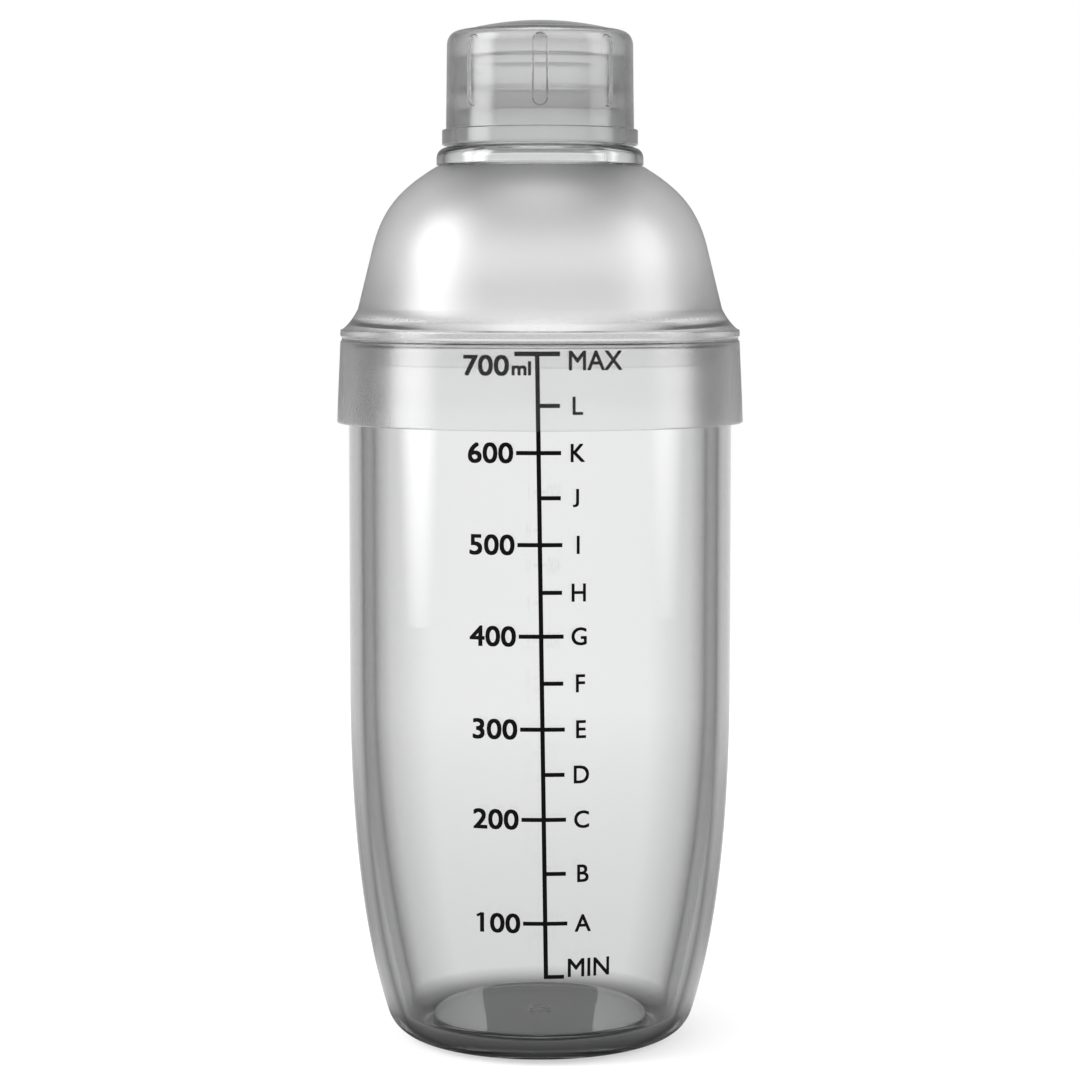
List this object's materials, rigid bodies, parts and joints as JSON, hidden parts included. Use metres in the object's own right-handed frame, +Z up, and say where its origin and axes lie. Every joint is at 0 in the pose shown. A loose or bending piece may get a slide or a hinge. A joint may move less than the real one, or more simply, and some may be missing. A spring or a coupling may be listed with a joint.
{
  "type": "cocktail shaker",
  "caption": "Clear plastic cocktail shaker: round-bellied cup, frosted dome lid that sleeves over it, pouring spout with a strainer plate, and push-on cap, sealed by soft rings.",
  "frame": {"origin": "centre of the foot, on the surface that the cup stands on", "axes": "+Z up along the shaker's axis; the printed volume scale faces -Y"},
  "size_m": [0.0914, 0.0914, 0.2291],
  "materials": {
    "clear_cup": "clear polycarbonate, polished, with a black printed volume scale",
    "frosted_lid": "frosted translucent polycarbonate, satin",
    "clear_fittings": "clear polycarbonate, polished",
    "silicone": "translucent silicone rubber, matt"
  },
  "bodies": {
    "cup": {"cup_body": "clear_cup"},
    "lid_ring": {"lid_seal": "silicone"},
    "lid": {"dome_lid": "frosted_lid"},
    "spout_ring": {"spout_seal": "silicone"},
    "spout": {"pour_spout": "clear_fittings", "strainer_plate": "clear_fittings"},
    "cap_ring": {"cap_seal": "silicone"},
    "cap": {"pour_cap": "clear_fittings"}
  },
  "joints": [
    {"name": "lid_lift", "type": "slide", "parent": "cup", "child": "lid_ring", "axis": [0, 0, 1], "range_m": [0, 0.12]},
    {"name": "lid_turn", "type": "hinge", "parent": "lid_ring", "child": "lid", "pos_m": [0, 0, 0.158], "axis": [0, 0, 1], "continuous": true},
    {"name": "spout_lift", "type": "slide", "parent": "lid", "child": "spout_ring", "axis": [0, 0, 1], "range_m": [0, 0.06]},
    {"name": "spout_turn", "type": "hinge", "parent": "spout_ring", "child": "spout", "pos_m": [0, 0, 0.192], "axis": [0, 0, 1], "continuous": true},
    {"name": "cap_turn", "type": "hinge", "parent": "spout", "child": "cap_ring", "pos_m": [0, 0, 0.211], "axis": [0, 0, 1], "continuous": true},
    {"name": "cap_lift", "type": "slide", "parent": "cap_ring", "child": "cap", "axis": [0, 0, 1], "range_m": [0, 0.06]}
  ]
}
